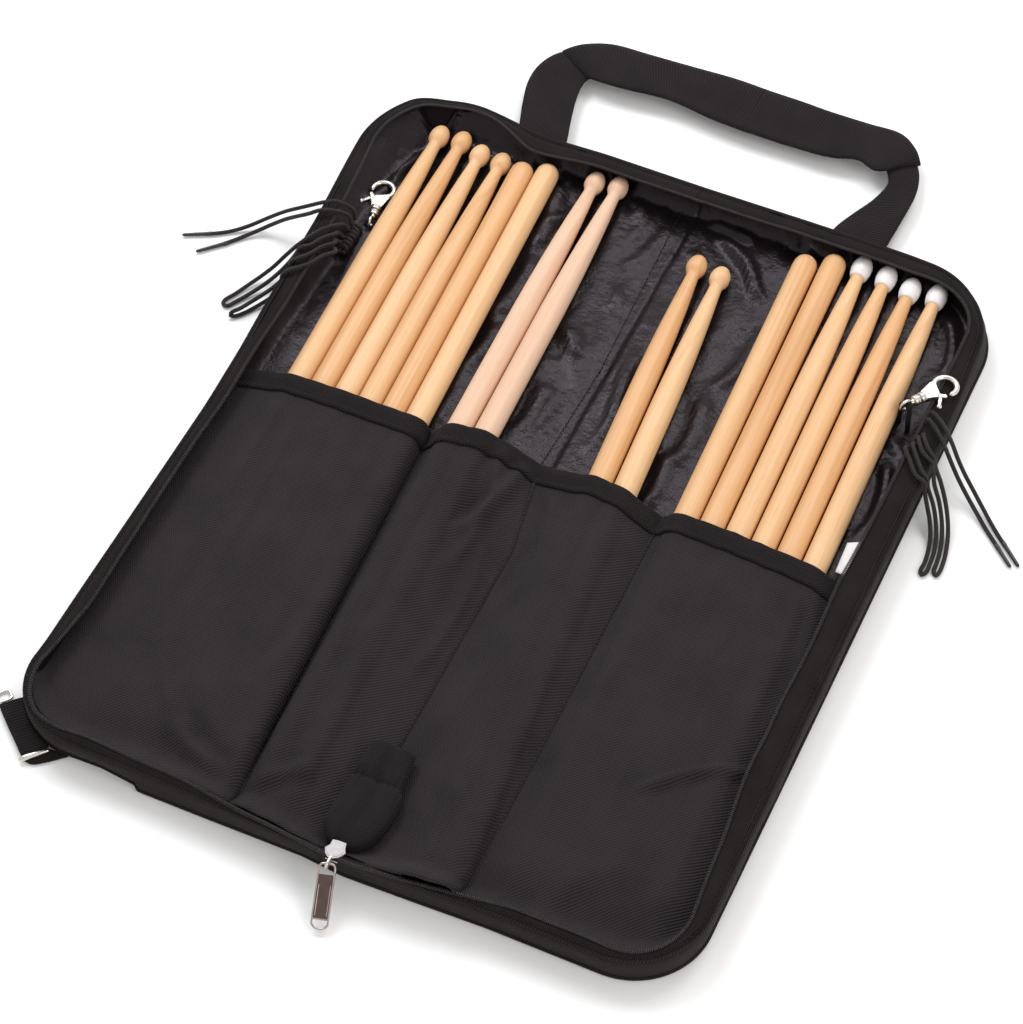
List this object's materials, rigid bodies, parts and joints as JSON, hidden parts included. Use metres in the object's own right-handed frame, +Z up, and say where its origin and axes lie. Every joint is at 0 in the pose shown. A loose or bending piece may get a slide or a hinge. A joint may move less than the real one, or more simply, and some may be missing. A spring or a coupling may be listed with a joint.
{
  "type": "drum stick bag",
  "caption": "Zip-around fabric drum stick bag lying open and flat, with stick pockets, snap hooks, tied laces and a webbing handle.",
  "frame": {"origin": "middle of the spine's outer face, which lies on the table", "axes": "+X across the open bag to the half with pockets 3 and 4, +Y from the zip pull to the handle, +Z up out of the open bag"},
  "size_m": [0.4792, 0.5755, 0.0256],
  "materials": {
    "shell_fabric": "matte",
    "gusset_fabric": "matte",
    "lining_satin": "satin",
    "pocket_twill": "matte",
    "zip_nylon": "satin",
    "webbing": "matte",
    "lace": "satin",
    "lace_tip": "gloss",
    "hardware": "polished",
    "maple": "satin",
    "pale_wood": "satin"
  },
  "bodies": {
    "spine": {"spine_panel": "shell_fabric", "bottom_gusset": "gusset_fabric", "top_gusset": "gusset_fabric", "centre_pocket_panel": "pocket_twill", "zip_slider": "hardware", "zip_tail": "pocket_twill", "handle_middle": "webbing"},
    "left_half": {"left_shell": "shell_fabric", "left_lining": "lining_satin", "left_gusset": "gusset_fabric", "left_zip": "zip_nylon", "pocket_1": "pocket_twill", "pocket_2": "pocket_twill", "handle_left": "webbing", "strap_webbing": "webbing", "left_lace_knot": "lace", "left_lace_end_1": "lace", "left_lace_end_2": "lace", "left_lace_loop_1": "lace", "left_lace_loop_2": "lace", "left_lace_tip_1": "lace_tip", "left_lace_tip_2": "lace_tip"},
    "right_half": {"right_shell": "shell_fabric", "right_lining": "lining_satin", "right_gusset": "gusset_fabric", "right_zip": "zip_nylon", "pocket_3": "pocket_twill", "pocket_4": "pocket_twill", "handle_right": "webbing", "right_lace_knot": "lace", "right_lace_end_1": "lace", "right_lace_end_2": "lace", "right_lace_loop_1": "lace", "right_lace_loop_2": "lace", "right_lace_tip_1": "lace_tip", "right_lace_tip_2": "lace_tip"},
    "zip_pull_tab": {"zip_pull": "hardware"},
    "pocket_1_sticks": {"pocket_1_stick_1": "maple", "pocket_1_stick_2": "maple", "pocket_1_stick_3": "maple", "pocket_1_stick_4": "maple", "pocket_1_stick_5": "maple", "pocket_1_stick_6": "maple"},
    "pocket_2_sticks": {"pocket_2_stick_1": "pale_wood", "pocket_2_stick_2": "pale_wood"},
    "pocket_3_sticks": {"pocket_3_stick_1": "maple", "pocket_3_stick_2": "maple"},
    "pocket_4_sticks": {"pocket_4_stick_1": "maple", "pocket_4_stick_2": "maple", "pocket_4_stick_3": "maple", "pocket_4_stick_4": "maple", "pocket_4_stick_5": "maple", "pocket_4_stick_6": "maple"},
    "left_swivel": {"left_hook_swivel": "hardware"},
    "left_hook": {"left_hook_body": "hardware"},
    "left_gate": {"left_hook_gate": "hardware"},
    "right_swivel": {"right_hook_swivel": "hardware"},
    "right_hook": {"right_hook_body": "hardware"},
    "right_gate": {"right_hook_gate": "hardware"},
    "strap_end_ring": {"strap_ring": "hardware"}
  },
  "joints": [
    {"name": "left_fold", "type": "hinge", "parent": "spine", "child": "left_half", "pos_m": [-0.02, 0, 0], "axis": [0, 1, 0], "range_deg": [0, 88], "deforming": ["bottom_gusset", "top_gusset", "zip_tail", "centre_pocket_panel", "handle_middle"]},
    {"name": "right_fold", "type": "hinge", "parent": "spine", "child": "right_half", "pos_m": [0.02, 0, 0], "axis": [0, -1, 0], "range_deg": [0, 88], "deforming": ["bottom_gusset", "top_gusset", "zip_tail", "centre_pocket_panel", "handle_middle"]},
    {"name": "pull_swing", "type": "hinge", "parent": "spine", "child": "zip_pull_tab", "pos_m": [0.0065, -0.2336, 0.01885], "axis": [-0.9781, -0.2079, 0], "range_deg": [-40, 115]},
    {"name": "pocket_1_slide", "type": "slide", "parent": "left_half", "child": "pocket_1_sticks", "axis": [0, 1, 0], "range_m": [-0.03, 0.0015]},
    {"name": "pocket_2_slide", "type": "slide", "parent": "left_half", "child": "pocket_2_sticks", "axis": [0, 1, 0], "range_m": [-0.028, 0.0015]},
    {"name": "pocket_4_slide", "type": "slide", "parent": "right_half", "child": "pocket_4_sticks", "axis": [0, 1, 0], "range_m": [-0.03, 0.0015]},
    {"name": "pocket_3_shift", "type": "hinge", "parent": "right_half", "child": "pocket_3_sticks", "pos_m": [0.05, -0.217, 0.0102], "axis": [0, 0, -1], "range_deg": [0, 2]},
    {"name": "left_hook_lift", "type": "hinge", "parent": "left_half", "child": "left_swivel", "pos_m": [-0.156, 0.1365, 0.0078], "axis": [-0.9848, -0.1736, 0], "range_deg": [-80, 0]},
    {"name": "left_hook_turn", "type": "hinge", "parent": "left_swivel", "child": "left_hook", "pos_m": [-0.15768, 0.146, 0.0078], "axis": [-0.1736, 0.9848, 0], "range_deg": [-15, 15]},
    {"name": "left_gate_open", "type": "hinge", "parent": "left_hook", "child": "left_gate", "pos_m": [-0.16191, 0.15272, 0.0078], "axis": [0, 0, -1], "range_deg": [0, 30], "stiffness_Nm_per_rad": 0.005, "springref_deg": -22.92},
    {"name": "right_hook_lift", "type": "hinge", "parent": "right_half", "child": "right_swivel", "pos_m": [0.1502, 0.1233, 0.0219], "axis": [-0.8192, 0.5736, 0], "range_deg": [-80, 0]},
    {"name": "right_hook_turn", "type": "hinge", "parent": "right_swivel", "child": "right_hook", "pos_m": [0.15574, 0.1312, 0.0219], "axis": [0.5736, 0.8192, 0], "range_deg": [-15, 3]},
    {"name": "right_gate_open", "type": "hinge", "parent": "right_hook", "child": "right_gate", "pos_m": [0.16241, 0.1355, 0.0219], "axis": [0, 0, 1], "range_deg": [0, 30], "stiffness_Nm_per_rad": 0.005, "springref_deg": -22.92},
    {"name": "strap_ring_lift", "type": "hinge", "parent": "left_half", "child": "strap_end_ring", "pos_m": [-0.17842, -0.20746, 0.001], "axis": [0.6628, 0.7488, 0], "range_deg": [0, 60]}
  ],
  "couplings": [
    {"joint": "pocket_3_shift", "follows": "right_fold", "ratio": 0.0222}
  ]
}
